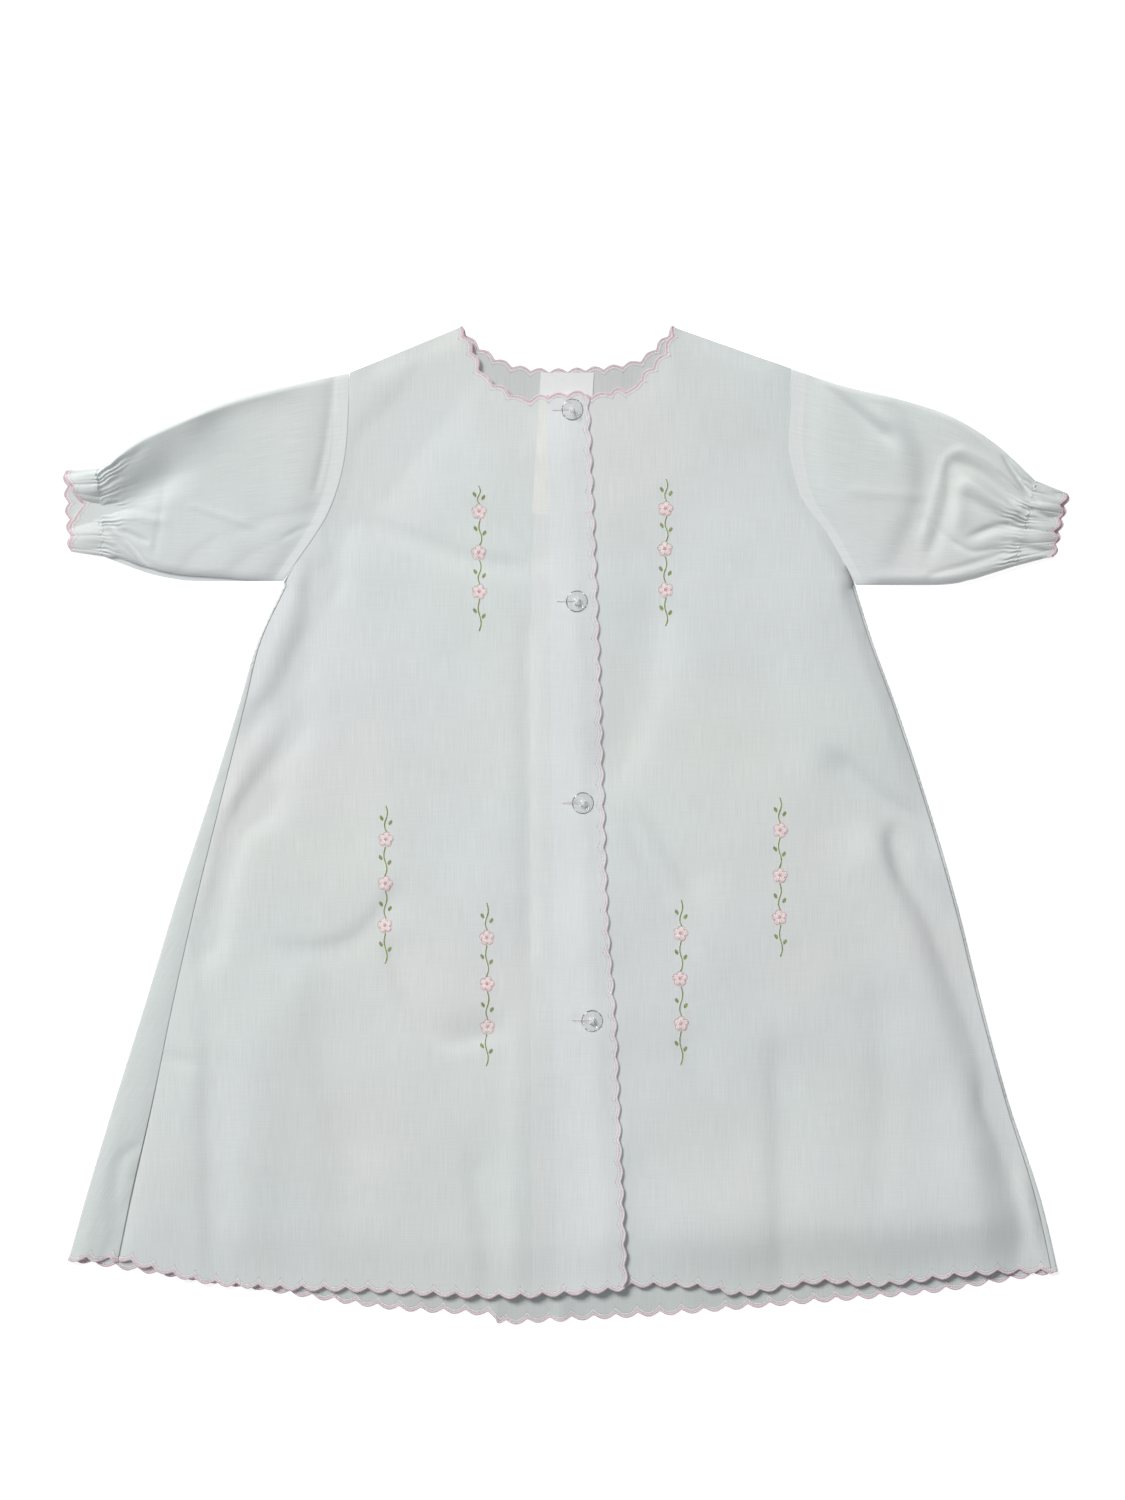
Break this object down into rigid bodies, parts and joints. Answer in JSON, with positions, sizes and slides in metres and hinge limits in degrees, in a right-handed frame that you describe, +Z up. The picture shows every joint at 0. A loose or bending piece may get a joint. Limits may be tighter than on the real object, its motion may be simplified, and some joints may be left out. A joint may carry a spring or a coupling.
{
  "type": "baby daygown",
  "caption": "Newborn's daygown laid flat: fronts that lap and button down the middle over one back, set-in sleeves drawn in by elastic above short frills, scalloped neck, lap and hem.",
  "frame": {"origin": "middle of the gown's footprint, on the surface that it lies on", "axes": "+Y from hem to neck, +X to the wearer's left, +Z up off the surface, through the fronts"},
  "size_m": [0.5031, 0.4995, 0.0089],
  "materials": {
    "cotton": "matte fine plain weave",
    "label": "smooth woven tape",
    "button": "clear polished",
    "edging": "pink and white stitched thread",
    "flower_thread": "satin stitch embroidery",
    "stem_thread": "stem stitch embroidery"
  },
  "bodies": {
    "root": {"back": "cotton", "front_right": "cotton", "front_left": "cotton", "front_facing": "cotton", "sleeve_right": "cotton", "sleeve_left": "cotton", "neck_label": "label", "button_1": "button", "button_2": "button", "button_3": "button", "button_4": "button"}
  },
  "joints": []
}
